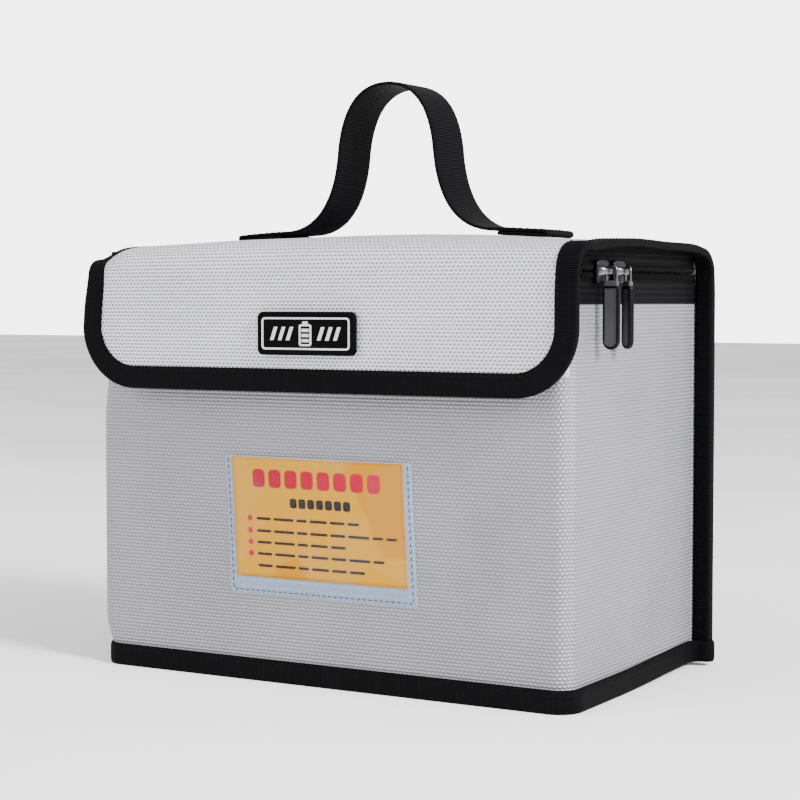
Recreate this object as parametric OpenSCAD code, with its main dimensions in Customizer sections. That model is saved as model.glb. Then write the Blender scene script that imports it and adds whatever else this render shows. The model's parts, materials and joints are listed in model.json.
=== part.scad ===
/* [Bag body] */
// Outer width of the body across its two side walls
body_w = 215; // [180:1:300]
// Outer depth of the body, from the front wall to the back panel
body_d = 123; // [110:1:200]
// Height of the lid cloth at its bound edges
body_h = 175; // [160:1:260]
// Radius of the two soft upright corners at the front
corner_r = 8; // [5:0.5:12]
// Thickness of the coated outer cloth
cloth_t = 1.2; // [0.8:0.1:1.6]
// Thickness of the inner lining
lining_t = 0.8; // [0.5:0.1:1]

/* [Seams and bindings] */
// Distance that the bound seams stand out past the side walls
seam_w = 8; // [6:0.5:10]
// Thickness of the folded binding tape on each face of a seam
tape_t = 1.2; // [0.8:0.1:1.5]
// Height of the bound seam round the base
base_band_h = 9; // [7:0.5:12]
// Distance that the base seam stands proud of the walls
base_band_t = 2.2; // [1.5:0.1:3]
// Width of the binding on the face of the flap
flap_band_w = 9.3; // [7:0.1:11]

/* [Lid and flap] */
// Outer radius of the two soft bends, back to lid and lid to flap
bend_r = 10; // [8:0.5:12]
// Height that the middle of the lid rises above its bound edges
lid_crown = 4.5; // [2:0.5:6]
// Distance from the front wall to the outer face of the flap
flap_reach = 8.5; // [8:0.1:10]
// Depth of the flap from the lid down to its lower edge
flap_drop = 58; // [50:1:64]
// Radius of the flap's two lower corners
flap_corner_r = 22; // [14:1:26]

/* [Zip] */
// Distance of the zip's parting line below the lid cloth
zip_drop = 11.2; // [10.6:0.1:13]
// Width of each half of the zip tape below or above its coil's edge
tape_w = 12; // [11:0.1:14]
// Height of one half of the zip coil
coil_h = 2.9; // [2.4:0.1:3.2]
// Distance from the back panel to the end of the zip coil
zip_end = 7.5; // [6.5:0.1:10]

/* [Sliders and pulls] */
// Place of the front slider, from the middle of the body
front_slider_y = -40; // [-44:0.5:-34]
// Place of the rear slider, from the middle of the body
rear_slider_y = -25; // [-28:0.5:20]
// Length of a slider along the zip
slider_l = 11.5; // [10:0.1:12]
// Width of a pull tab
tab_w = 6.8; // [6:0.1:7.2]
// Length of a pull tab
tab_l = 24; // [18:0.5:28]
// Thickness of a pull tab
tab_t = 2.3; // [1.6:0.1:2.6]
// Turn of the rear pull about the upright
rear_pull_turn = -40; // [-42:1:0]

/* [Handle] */
// Width of the handle webbing
strap_w = 25; // [20:1:30]
// Thickness of the handle webbing
strap_t = 1.5; // [1.2:0.1:1.8]
// Height of the handle's top above the lid's edges
handle_rise = 68; // [60:1:80]
// Half the distance between the handle's two sewn tips
handle_tip_x = 74; // [70:1:85]
// Half the distance between the two places where the webbing leaves the lid
handle_foot_x = 50; // [46:1:56]
// Half the distance between the handle's legs at the neck of the loop
handle_neck_x = 22.8; // [20:0.2:26]

/* [Front panel and badge] */
// Width of the clear card pocket
pocket_w = 87; // [60:1:110]
// Height of the clear card pocket
pocket_h = 56; // [40:1:58]
// Height of the pocket's lower edge above the floor
pocket_low = 35; // [20:1:45]
// Width of the badge on the flap
badge_w = 45; // [30:1:60]
// Height of the badge on the flap
badge_h = 17; // [12:0.5:20]

/* [Hidden] */
$fn = 48;

fit = 0.05;              // play between layers that lie on each other
eps = 0.01;
half_w = body_w / 2;
half_d = body_d / 2;
seam_x = half_w + seam_w;               // outer edge of the bound side seams
cloth_x = seam_x - tape_t;              // edge of the cloth inside the binding
flap_y = -half_d - flap_reach;          // outer face of the hanging flap
bend_z = body_h - bend_r;               // height of both bends' centres
rear_bend_y = half_d - bend_r;
front_bend_y = flap_y + bend_r;
bend_gap = 0.6;                         // half the angle left open where two bodies meet
binding_gap = 1.6;                      // the same for the thicker binding
flange_y = half_d - 2 * cloth_t;        // front face of the wrap's rear margins

zip_z = body_h - zip_drop;              // where the two halves of the zip part
zip_play = 0.2;                         // half the space between the closed halves
zip_tape_t = 0.6;
coil_t = 1.4;
wall_top = zip_z - 6.8;
lower_tape_low = zip_z - zip_play - tape_w;
upper_tape_top = body_h - cloth_t - 0.5;
coil_y = half_d - zip_end;

strip_w = 190;                          // hook and loop strips
strip_h = 20;
strip_low = body_h - flap_drop + flap_band_w + 0.2;
facing_low = body_h - flap_drop + 7.7;
facing_top = lower_tape_low - 0.6;
loop_t = 2.6;
hook_t = 2.35;

// Slider and pull, measured outwards from the side wall
plate_x = half_w + zip_tape_t + coil_t + 0.3;
plate_t = 1.2;
plate_h = 8.8;
crown_t = 1.1;
crown_r = 4.7;
crown_x = plate_x + plate_t - 1;        // centre of the crown's arch
pivot_x = crown_x + crown_r - crown_t / 2;
eye_r = 1.6;
wire_t = 1;
link_l = 5.2;

// Handle: the loop's path is two curves each side, crown then leg
strap_top = body_h + handle_rise - strap_t / 2;
sewn_low = body_h + lid_crown - 0.7;
foot_z = sewn_low + 1.5 * strap_t;
neck_z = strap_top - 28.3;
neck_pull = [1.8, -19];
tilt_u = 1.52;                          // place along the path where the loop starts to tilt

badge_x = -0.8;
badge_z = body_h - 34.9;
badge_t = 2.2;
print_t = 0.25;
pocket_x = -1.5;

// ---- shared shapes ----

// Outline of the body from above, grown outwards, ending at the plane y = back
module footprint(grow, back) {
    r = corner_r + grow;
    hw = half_w + grow;
    front = -half_d - grow;
    translate([-hw, front + r]) square([2 * hw, back - front - r]);
    translate([r - hw, front]) square([2 * (hw - r), r + eps]);
    for (side = [-1, 1]) translate([side * (hw - r), front + r]) circle(r);
}

// Wall that follows the left, front and right of the body
module wall(outer, inner, low, high, back) {
    translate([0, 0, low]) linear_extrude(high - low) difference() {
        footprint(outer, back);
        footprint(inner, back + 1);
    }
}

// Extrudes an outline drawn in Y and Z from x0 to x1
module along_x(x0, x1) {
    translate([x0, 0, 0]) rotate([90, 0, 90]) linear_extrude(x1 - x0) children();
}

// Extrudes an outline drawn in X and Z from y0 to y1
module along_y(y0, y1) {
    translate([0, y1, 0]) rotate([90, 0, 0]) linear_extrude(y1 - y0) children();
}

module bar(low, high) {
    translate(low) cube(high - low);
}

// Part of a soft bend between two angles, grown by a thickness on both faces
module bend(y, from, to, grow) {
    far = 2 * bend_r;
    translate([y, bend_z]) intersection() {
        difference() {
            circle(bend_r + grow);
            circle(bend_r - cloth_t - grow);
        }
        polygon([[0, 0], far * [cos(from), sin(from)], far * [cos(to), sin(to)]]);
    }
}

// Side profiles of the spine cloth: up the back, over the lid, down the flap
module back_profile(low, grow, gap) {
    translate([half_d - cloth_t - grow, low]) square([cloth_t + 2 * grow, bend_z - low + eps]);
    bend(rear_bend_y, 0, 45 - gap, grow);
}

module lid_profile(grow, gap) {
    translate([front_bend_y, body_h - cloth_t - grow])
        square([rear_bend_y - front_bend_y, cloth_t + 2 * grow]);
    bend(rear_bend_y, 45 + gap, 90, grow);
    bend(front_bend_y, 90, 135 - gap, grow);
}

module flap_profile(low, grow, gap) {
    translate([flap_y - grow, low]) square([cloth_t + 2 * grow, bend_z - low]);
    bend(front_bend_y, 135 + gap, 180, grow);
}

// Outline of the flap in X and Z, drawn in from its bound edge
module flap_outline(inset, top) {
    hw = seam_x - inset;
    r = flap_corner_r - inset;
    low = body_h - flap_drop + inset;
    translate([-hw, low + r]) square([2 * hw, top - low - r]);
    translate([r - hw, low]) square([2 * (hw - r), r + eps]);
    for (side = [-1, 1]) translate([side * (hw - r), low + r]) circle(r);
}

module rounded(w, h, r) {
    translate([-w / 2, r - h / 2]) square([w, h - 2 * r]);
    translate([r - w / 2, -h / 2]) square([w - 2 * r, h]);
    for (x = [-1, 1], y = [-1, 1]) translate([x * (w / 2 - r), y * (h / 2 - r)]) circle(r);
}

// ---- body ----

module front_side_wrap() {
    color("silver") {
        wall(0, -cloth_t, cloth_t + fit, wall_top, flange_y + cloth_t);
        for (side = [-1, 1])
            bar([side > 0 ? half_w - eps : -cloth_x, flange_y, cloth_t + fit],
                [side > 0 ? cloth_x : eps - half_w, flange_y + cloth_t - fit, wall_top]);
    }
}

module back_panel() {
    color("silver") along_x(-cloth_x, cloth_x) back_profile(0, 0, bend_gap);
}

module bottom_panel() {
    color("silver") linear_extrude(cloth_t) footprint(0, half_d - cloth_t - fit);
}

module body_lining() {
    skin = -cloth_t - fit;
    back = half_d - cloth_t - fit;
    low = cloth_t + fit;
    color("gainsboro") difference() {
        translate([0, 0, low]) linear_extrude(wall_top - low) footprint(skin, back);
        translate([0, 0, low + lining_t])
            linear_extrude(wall_top) footprint(skin - lining_t, back - lining_t);
    }
}

module base_binding() {
    tail = flange_y - tape_t;
    rear = half_d + base_band_t;
    color("black") {
        wall(base_band_t, fit, 0, base_band_h, tail + eps);
        for (side = [-1, 1])
            bar([side > 0 ? half_w + fit : -seam_x, tail, 0],
                [side > 0 ? seam_x : -half_w - fit, flange_y, base_band_h]);
        for (side = [-1, 1])
            bar([side > 0 ? cloth_x + fit : -seam_x, flange_y - eps, 0],
                [side > 0 ? seam_x : -cloth_x - fit, half_d + fit + eps, base_band_h]);
        bar([-seam_x, half_d + fit, 0], [seam_x, rear, base_band_h]);
    }
}

module back_binding(side) {
    inner = half_w + zip_tape_t + 0.2;
    x0 = side > 0 ? inner : -seam_x;
    x1 = side > 0 ? seam_x : -inner;
    low = base_band_h + fit;
    step = 1;                           // the tape's inner fold ends this far below the bend
    color("black") difference() {
        along_x(x0, x1) union() {
            back_profile(low, tape_t, binding_gap);
            translate([flange_y - tape_t, low]) square([2 * tape_t, bend_z - step - low]);
        }
        along_x(-cloth_x - fit, cloth_x + fit) union() {
            back_profile(0, fit, 0);
            translate([flange_y - fit, 0]) square([cloth_t, wall_top + fit]);
        }
    }
}

module zipper_tape(low, high, back) {
    color("dimgray") wall(zip_tape_t, fit, low, high, back);
}

module zipper_coil(low, high) {
    color("black") wall(zip_tape_t + coil_t, zip_tape_t + fit, low, high, coil_y);
}

module closure_facing() {
    color("whitesmoke")
        bar([-half_w, -half_d - cloth_t, facing_low], [half_w, -half_d - fit, facing_top]);
}

module loop_strip() {
    face = -half_d - cloth_t - fit;
    color("white")
        bar([-strip_w / 2, face - loop_t, strip_low], [strip_w / 2, face, strip_low + strip_h]);
}

module card_pocket() {
    rim = 3;
    film_t = 0.3;
    space = 1.1;
    face = -half_d - fit;
    color("lightblue", 0.4) difference() {
        bar([pocket_x - pocket_w / 2, face - space - film_t, pocket_low],
            [pocket_x + pocket_w / 2, face, pocket_low + pocket_h]);
        bar([pocket_x - pocket_w / 2 + rim, face - space, pocket_low + rim],
            [pocket_x + pocket_w / 2 - rim, face + 1, pocket_low + pocket_h + 1]);
    }
}

module info_card() {
    card_w = pocket_w - 7;
    card_h = pocket_h - 5;
    card_low = pocket_low + pocket_h - card_h - 0.5;
    front = -half_d - 0.9;
    color("gold")
        bar([pocket_x - card_w / 2, front, card_low],
            [pocket_x + card_w / 2, front + 0.4, card_low + card_h]);
}

// ---- lid ----

// Rise of the lid: a smooth dome that dies away at the side walls and at both bends
function dome(x, y) =
    let (u = x / half_w, v = 2 * (y - front_bend_y) / (rear_bend_y - front_bend_y) - 1)
    lid_crown * max(0, 1 - u * u) * max(0, 1 - v * v);

// Points of the lid's side profile at a radius, from the front bend to the rear one
function lid_line(r) = concat(
    [for (a = [135 - bend_gap : -7.5 : 95]) [front_bend_y + r * cos(a), bend_z + r * sin(a)]],
    [for (i = [0 : 12]) [front_bend_y + (rear_bend_y - front_bend_y) * i / 12, bend_z + r]],
    [for (a = [85 : -7.5 : 45 + bend_gap]) [rear_bend_y + r * cos(a), bend_z + r * sin(a)]]
);

module lid_panel() {
    upper = lid_line(bend_r);
    lower = lid_line(bend_r - cloth_t);
    line = concat(upper, [for (i = [1 : len(lower)]) lower[len(lower) - i]]);
    cols = len(line);
    across_wall = [for (i = [-6 : 6]) half_w * i / 6];
    stations = concat([-cloth_x], across_wall, [cloth_x]);
    rows = len(stations) - 1;
    points = [for (x = stations, p = line) [x, p[0], p[1] + dome(x, p[0])]];
    skin = [
        for (i = [0 : rows - 1], j = [0 : cols - 1])
            [i * cols + j, i * cols + (j + 1) % cols,
             (i + 1) * cols + (j + 1) % cols, (i + 1) * cols + j]
    ];
    near_end = [for (j = [0 : cols - 1]) cols - 1 - j];
    far_end = [for (j = [0 : cols - 1]) rows * cols + j];
    color("silver") polyhedron(points, concat(skin, [near_end, far_end]));
}

module lid_lining() {
    margin = 3;
    top = body_h - cloth_t - fit;
    color("gainsboro")
        bar([margin - half_w, margin - half_d, top - lining_t],
            [half_w - margin, rear_bend_y - margin, top]);
}

module lid_binding(side) {
    inner = half_w + zip_tape_t + 0.2;
    x0 = side > 0 ? inner : -seam_x;
    x1 = side > 0 ? seam_x : -inner;
    color("black") difference() {
        along_x(x0, x1) lid_profile(tape_t, binding_gap);
        along_x(-cloth_x - fit, cloth_x + fit) lid_profile(fit, 0);
    }
}

// ---- flap ----

module flap_panel() {
    color("silver") {
        along_y(flap_y, flap_y + cloth_t) flap_outline(tape_t, bend_z);
        along_x(-cloth_x, cloth_x) bend(front_bend_y, 135 + bend_gap, 180, 0);
    }
}

module flap_lining() {
    face = flap_y + cloth_t + fit;
    color("gainsboro") along_y(face, face + lining_t) flap_outline(tape_t, bend_z - 2);
}

module flap_binding() {
    stack = cloth_t + lining_t + fit;
    color("black") {
        difference() {
            along_y(flap_y - tape_t, flap_y + stack + tape_t) flap_outline(0, bend_z);
            along_y(flap_y - 2 * tape_t, flap_y + stack + 2 * tape_t)
                flap_outline(flap_band_w, bend_z + 1);
            along_y(flap_y - fit, flap_y + stack + fit) flap_outline(tape_t - fit, bend_z + 1);
        }
        for (side = [-1, 1])
            difference() {
                along_x(side > 0 ? seam_x - flap_band_w : -seam_x,
                        side > 0 ? seam_x : flap_band_w - seam_x)
                    bend(front_bend_y, 135 + binding_gap, 180, tape_t);
                along_x(-cloth_x - fit, cloth_x + fit) bend(front_bend_y, 120, 190, fit);
            }
    }
}

module hook_strip() {
    face = flap_y + cloth_t + lining_t + 2 * fit;
    color("dimgray")
        bar([-strip_w / 2, face, strip_low], [strip_w / 2, face + hook_t, strip_low + strip_h]);
}

module badge_patch() {
    color("black") along_y(flap_y - badge_t, flap_y - fit)
        translate([badge_x, badge_z]) rounded(badge_w, badge_h, 2.4);
}

module badge_border() {
    inset = 2.2;
    line = 0.7;
    face = flap_y - badge_t;
    color("white") along_y(face - print_t, face) translate([badge_x, badge_z]) difference() {
        rounded(badge_w - 2 * inset, badge_h - 2 * inset, 1.6);
        rounded(badge_w - 2 * (inset + line), badge_h - 2 * (inset + line), 1);
    }
}

// A plain upright battery between two groups of slanted bars
module badge_emblem() {
    face = flap_y - badge_t;
    cell_w = 5.6;
    cell_h = 8.4;
    line = 0.7;
    color("white") along_y(face - print_t, face) translate([badge_x, badge_z]) {
        translate([0, -0.6]) difference() {
            rounded(cell_w, cell_h, 0.8);
            rounded(cell_w - 2 * line, cell_h - 2 * line, 0.4);
        }
        translate([-1.2, cell_h / 2 - 0.6]) square([2.4, 1.1]);
        for (k = [-1 : 1]) translate([-1.6, 2 * k - 1.3]) square([3.2, 1.2]);
        for (side = [-1, 1], k = [0 : 2])
            translate([side * (7.2 + 3.7 * k), 0])
                polygon([[-1.7, -2.6], [-0.2, -2.6], [1.7, 2.6], [0.2, 2.6]]);
    }
}

// ---- handle ----

function curve(a, b, c, d, t) =
    a * pow(1 - t, 3) + 3 * b * t * pow(1 - t, 2) + 3 * c * t * t * (1 - t) + d * pow(t, 3);

// Centre line of the webbing: u runs from 0 at the top to 2 where it meets the lid
function half_path(u) =
    let (top = [0, strap_top], neck = [handle_neck_x, neck_z], foot = [handle_foot_x, foot_z])
    u < 1
        ? curve(top, top + [13, 0], neck - neck_pull, neck, u)
        : curve(neck, neck + neck_pull, foot - [17, 0], foot, u - 1);
function path(u) = [sign(u) * half_path(abs(u))[0], half_path(abs(u))[1]];
function across(u) =
    let (d = path(u + 0.005) - path(u - 0.005)) [-d[1], d[0]] / norm(d) * strap_t / 2;

// One face of the webbing between two places on the path, as points in X and Z
function face(from, to, steps, way) =
    [for (i = [0 : steps]) let (u = from + (to - from) * i / steps) path(u) + way * across(u)];

// Foot of a leg with its doubled sewn end, which slopes down with the lid
module handle_end(side) {
    from = tilt_u + 0.06;
    tip_drop = 1.1;
    sewn_end = [
        [handle_tip_x, sewn_low + 2 * strap_t - tip_drop],
        [handle_tip_x, sewn_low - tip_drop],
        [handle_foot_x, sewn_low]
    ];
    outline = concat(face(from, 2, 10, 1), sewn_end, face(2, from, 10, -1));
    color("black") along_y(-strap_w / 2, strap_w / 2)
        polygon([for (p = outline) [side * p[0], p[1]]]);
}

module handle_strap() {
    color("black") along_y(-strap_w / 2, strap_w / 2)
        polygon(concat(face(-tilt_u, tilt_u, 48, 1), face(tilt_u, -tilt_u, 48, -1)));
}

// ---- sliders and pulls ----

module slider(y) {
    spring_line = plate_x + plate_t - crown_x - eps;        // where the crown leaves the plate
    color("slategray") {
        along_x(plate_x, plate_x + plate_t) translate([y, zip_z]) rounded(slider_l, plate_h, 2);
        bar([plate_x - 1.1, y - slider_l / 2 + 1.5, zip_z - plate_h / 2],
            [plate_x + eps, y + slider_l / 2 - 1.5, zip_z - plate_h / 2 + 0.9]);
        translate([crown_x, y, zip_z - crown_t / 2]) linear_extrude(crown_t) difference() {
            circle(crown_r);
            circle(crown_r - crown_t);
            translate([spring_line - 2 * crown_r, -2 * crown_r])
                square([2 * crown_r, 4 * crown_r]);
        }
    }
}

// Places a flat outline drawn in the pull's own plane on its hinge
module on_pull(y, turn, thick) {
    translate([pivot_x, y, zip_z]) rotate([0, 0, turn]) along_y(-thick / 2, thick / 2) children();
}

module pull_link(y, turn) {
    out = eye_r + wire_t;
    color("slategray") on_pull(y, turn, wire_t) difference() {
        union() {
            circle(out);
            translate([-out, -link_l]) square([2 * out, link_l]);
        }
        circle(eye_r);
        translate([-eye_r, wire_t - link_l]) square([2 * eye_r, link_l - wire_t]);
    }
}

module pull_tab(y, turn) {
    end_r = tab_w / 2;
    top_r = 1.2;
    color("dimgray") on_pull(y, turn, tab_t) translate([0, -link_l - fit]) {
        translate([-end_r, end_r - tab_l]) square([tab_w, tab_l - end_r - top_r]);
        translate([0, end_r - tab_l]) circle(end_r);
        translate([top_r - end_r, -top_r - eps]) square([tab_w - 2 * top_r, top_r + eps]);
        for (side = [-1, 1]) translate([side * (end_r - top_r), -top_r]) circle(top_r);
    }
}

front_side_wrap();
back_panel();
bottom_panel();
body_lining();
base_binding();
back_binding(-1);  // back_left_binding
back_binding(1);  // back_right_binding
zipper_tape(lower_tape_low, zip_z - zip_play, flange_y - tape_t - fit);  // lower_zipper_tape
zipper_coil(zip_z - zip_play - coil_h, zip_z - zip_play);  // lower_zipper_coil
closure_facing();
loop_strip();
card_pocket();
info_card();
lid_panel();
lid_lining();
lid_binding(-1);  // lid_left_binding
lid_binding(1);  // lid_right_binding
zipper_tape(zip_z + zip_play, upper_tape_top, coil_y);  // upper_zipper_tape
zipper_coil(zip_z + zip_play, zip_z + zip_play + coil_h);  // upper_zipper_coil
handle_end(-1);  // handle_left_end
handle_end(1);  // handle_right_end
flap_panel();
flap_lining();
flap_binding();
hook_strip();
badge_patch();
badge_border();
badge_emblem();
handle_strap();
slider(front_slider_y);  // front_slider
slider(rear_slider_y);  // rear_slider
pull_link(front_slider_y, 0);  // front_pull_link
pull_tab(front_slider_y, 0);  // front_pull_tab
pull_link(rear_slider_y, rear_pull_turn);  // rear_pull_link
pull_tab(rear_slider_y, rear_pull_turn);  // rear_pull_tab
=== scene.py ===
import json
import math

import bmesh
import bpy
import numpy as np
from bpy.props import FloatProperty, FloatVectorProperty, PointerProperty
from bpy.types import Operator, Panel, PropertyGroup
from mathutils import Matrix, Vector


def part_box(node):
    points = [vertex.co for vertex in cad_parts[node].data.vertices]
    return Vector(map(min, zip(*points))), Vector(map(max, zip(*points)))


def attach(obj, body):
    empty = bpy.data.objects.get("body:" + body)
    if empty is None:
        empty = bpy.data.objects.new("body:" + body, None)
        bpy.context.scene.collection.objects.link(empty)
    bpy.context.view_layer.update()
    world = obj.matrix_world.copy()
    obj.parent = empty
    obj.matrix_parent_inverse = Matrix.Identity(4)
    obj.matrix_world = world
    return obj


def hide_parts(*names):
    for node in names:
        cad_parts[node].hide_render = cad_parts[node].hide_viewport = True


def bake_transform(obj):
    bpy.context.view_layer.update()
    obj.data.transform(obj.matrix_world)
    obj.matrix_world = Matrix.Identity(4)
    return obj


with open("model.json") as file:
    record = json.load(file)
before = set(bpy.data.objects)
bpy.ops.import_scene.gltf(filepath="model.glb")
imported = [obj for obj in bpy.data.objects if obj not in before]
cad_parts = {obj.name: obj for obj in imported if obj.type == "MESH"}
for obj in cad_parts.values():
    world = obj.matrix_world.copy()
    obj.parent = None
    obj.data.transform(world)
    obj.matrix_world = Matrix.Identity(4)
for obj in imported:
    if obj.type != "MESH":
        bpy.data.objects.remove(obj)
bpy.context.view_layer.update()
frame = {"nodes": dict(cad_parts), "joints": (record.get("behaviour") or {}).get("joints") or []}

bl_info = {
    "name": "Battery Safe Bag",
    "version": (1, 0, 0),
    "blender": (4, 5, 0),
    "location": "3D View > Sidebar > Safe Bag",
    "description": "Sews a coated cloth bag for battery packs round its packed frame",
    "category": "Add Mesh",
}


def low(node):
    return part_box(node)[0]


def high(node):
    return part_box(node)[1]


def middle(node):
    return tuple((p + q) / 2 for p, q in zip(*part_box(node)))


# ---- places that the frame settles ----

HALF_W = high("closure_facing").x
FRONT_Y = low("bottom_panel").y
BACK_Y = high("back_panel").y
SEAM_X = high("base_binding").x
FLAP_Y = low("flap_panel").y
FLAP_LOW = low("flap_binding").z
CLOTH_T = high("bottom_panel").z
CLOTH_X = high("flap_panel").x
WALL_TOP = high("front_side_wrap").z
FLANGE_Y = high("front_side_wrap").y - CLOTH_T
ZIP_Z = (high("lower_zipper_coil").z + low("upper_zipper_coil").z) / 2
COIL_Y = high("lower_zipper_coil").y
JOINT_AT = {j["name"]: Vector(j["pos_m"]) for j in frame["joints"] if "pos_m" in j}

QUARTER = math.pi / 2
CORNER_R = 0.008
BEND_R = 0.010
BACK_TURN = math.radians(44.4)  # how far round the rear bend the back panel reaches
LID_Z = high("back_panel").z + BEND_R * (1 - math.sin(BACK_TURN))
BEND_Z = LID_Z - BEND_R
FLAP_CORNER_R = 0.026
FLAP_DRAW_IN, FLAP_SHIFT, FLAP_EASE = 0.0021, 0.0011, 0.026
EDGE_W, EDGE_HALF_T, EDGE_SINK = 0.0093, 0.0018, 0.0006
CARD_LOW = low("info_card") + Vector((0, 0, 0.0026))
UP, FORWARD = np.array([0.0, 0.0, 1.0]), np.array([0.0, -1.0, 0.0])
MIRROR = np.array([-1.0, 1.0, 1.0])
FLOOR_AXES = ((1, 0, 0), (0, 1, 0), (0, 0, 1))
FRONT_AXES = ((1, 0, 0), (0, 0, 1), (0, -1, 0))
SIDE_AXES = ((0, 1, 0), (0, 0, 1), (1, 0, 0))

LID_RUN = (BACK_Y - BEND_R) - (FLAP_Y + BEND_R)
LID_BACK = BEND_Z + BEND_R * QUARTER
LID_MIDDLE = LID_BACK + LID_RUN / 2
LID_FRONT = LID_MIDDLE + LID_RUN / 2
FLAP_TOP = LID_FRONT + BEND_R * QUARTER
FLAP_END = FLAP_TOP + BEND_Z - FLAP_LOW

FOOT_LIFT, FOOT_H = 0.004, 0.02  # how the seams' lower ends rise clear of the base's band
WALL_RUN = FLANGE_Y - FRONT_Y - CORNER_R
FRONT_RUN = 2 * (HALF_W - CORNER_R)
FRONT_START = WALL_RUN + CORNER_R * QUARTER
WALL_LENGTH = 2 * FRONT_START + FRONT_RUN

# Bends between two bodies: the two bodies, and where the turn starts and ends.
BENDS = {
    "rear bend": ("body", "lid", (0.0, BACK_Y, BEND_Z), (0.0, BACK_Y - BEND_R, LID_Z)),
    "front bend": ("lid", "flap", (0.0, FLAP_Y + BEND_R, LID_Z), (0.0, FLAP_Y, BEND_Z)),
    "handle bend": ("lid", "handle", (0, 0, 0.182), (0, 0, 0.200)),
}


class BagSizes(PropertyGroup):
    lid_crown: FloatProperty(
        name="Lid crown", description="Rise of the lid's middle above its bound edges",
        default=0.0049, unit="LENGTH")
    wall_swell: FloatProperty(
        name="Wall swell", description="Swell of the walls' middles",
        default=0.0012, unit="LENGTH")
    puff: FloatProperty(
        name="Puff", description="Room that both side walls gain between the base and the zip",
        default=0.0022, unit="LENGTH")
    lean: FloatProperty(
        name="Lean", description="Lean of the walls to the left between the base and the zip",
        default=0.0024, unit="LENGTH")
    droop: FloatProperty(
        name="Corner droop", description="Droop of the lid's front left corner",
        default=0.0054, unit="LENGTH")
    nip: FloatProperty(
        name="Corner nip", description="How far the lid's front left corner is drawn in",
        default=0.0026, unit="LENGTH")
    ripple: FloatProperty(
        name="Ripple", description="Height of the soft waves in the cloth",
        default=0.00035, unit="LENGTH")
    slant: FloatProperty(
        name="Pocket slant", description="How far the pocket moves right for each length down",
        default=0.047)
    web_t: FloatProperty(
        name="Webbing thickness", description="Thickness of the handle webbing",
        default=0.0015, unit="LENGTH")
    stitch: FloatProperty(
        name="Stitch length", description="Length of one stitch with its gap",
        default=0.0031, unit="LENGTH")


class BagColours(PropertyGroup):
    cloth: FloatVectorProperty(
        name="Cloth", description="Silver coating", subtype="COLOR",
        default=(0.45, 0.45, 0.50))
    # painted shade: the dark colour painted into the weave's pits, and into the lines between the walls'
    # raised dots
    pit_shade: FloatVectorProperty(
        name="Weave pits", description="Pits between the coated yarns", subtype="COLOR",
        default=(0.072, 0.072, 0.094))
    trim: FloatVectorProperty(
        name="Trim", description="Black tapes and webbing", subtype="COLOR",
        default=(0.0009, 0.0009, 0.0011))
    card: FloatVectorProperty(
        name="Card", description="Card in the pocket", subtype="COLOR",
        default=(0.42, 0.172, 0.0))
    red_ink: FloatVectorProperty(
        name="Red ink", description="Heading and dots on the card", subtype="COLOR",
        default=(0.33, 0.0, 0.020))


# ---- shader maths ----

class Field:
    """A number that changes over a surface: a socket whose operators add Math nodes."""

    def __init__(self, finish, socket):
        self.finish, self.socket = finish, socket

    def maths(self, operation, *values):
        node = self.finish.node("ShaderNodeMath", {"operation": operation}, dict(enumerate(values)))
        return Field(self.finish, node.outputs[0])

    def __add__(self, other):
        return self.maths("ADD", self, other)

    def __sub__(self, other):
        return self.maths("SUBTRACT", self, other)

    def __rsub__(self, other):
        return self.maths("SUBTRACT", other, self)

    def __mul__(self, other):
        return self.maths("MULTIPLY", self, other)

    __radd__, __rmul__ = __add__, __mul__

    def wave(self, pitch):
        """Cosine of the field with that pitch."""
        return self.maths("COSINE", self * (2 * math.pi / pitch))

    def step(self, start, end):
        """0 below start, 1 above end, smooth between them."""
        node = self.finish.node(
            "ShaderNodeMapRange", {"interpolation_type": "SMOOTHSTEP"},
            {"Value": self, "From Min": start, "From Max": end})
        return Field(self.finish, node.outputs["Result"])


class Finish:
    """A material, with one method that adds any node to it."""

    def __init__(self, name, sockets):
        self.material = bpy.data.materials.new(name)
        self.material.use_nodes = True
        self.tree = self.material.node_tree
        self.shader = self.tree.nodes["Principled BSDF"]
        self.fill(self.shader, sockets)

    def fill(self, node, values):
        for key, value in values.items():
            if isinstance(value, Field):
                value = value.socket
            if isinstance(value, bpy.types.NodeSocket):
                self.tree.links.new(value, node.inputs[key])
            elif isinstance(value, (tuple, list)) and len(value) == 3 and node.inputs[key].type == "RGBA":
                node.inputs[key].default_value = (*value, 1.0)
            else:
                node.inputs[key].default_value = value

    def node(self, kind, settings=None, values=None):
        made = self.tree.nodes.new(kind)
        for key, value in (settings or {}).items():
            setattr(made, key, value)
        self.fill(made, values or {})
        return made

    def uv(self):
        """The two lengths along the piece's surface, in metres."""
        lengths = self.node("ShaderNodeUVMap", {"uv_map": "length"}).outputs["UV"]
        parts = self.node("ShaderNodeSeparateXYZ", values={"Vector": lengths})
        return [Field(self, parts.outputs[k]) for k in range(2)]

    def noise(self, scale, detail=3.0):
        place = self.node("ShaderNodeTexCoord").outputs["Object"]
        node = self.node(
            "ShaderNodeTexNoise", {"noise_dimensions": "3D"},
            {"Vector": place, "Scale": scale, "Detail": detail})
        return Field(self, node.outputs["Fac"])

    def mix(self, factor, first, second):
        """Colour between two colours."""
        node = self.node("ShaderNodeMix", {"data_type": "RGBA"}, {0: factor, 6: first, 7: second})
        return node.outputs[2]

    def bump(self, height, distance):
        """Normal of a surface raised by height, from 0 to 1, times the distance."""
        node = self.node(
            "ShaderNodeBump", values={"Height": height, "Distance": distance, "Strength": 1.0})
        return node.outputs["Normal"]

    def dress(self, sockets):
        self.fill(self.shader, sockets)
        return self.material


def scaled(colour, share):
    return tuple(c * share for c in colour)


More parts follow.
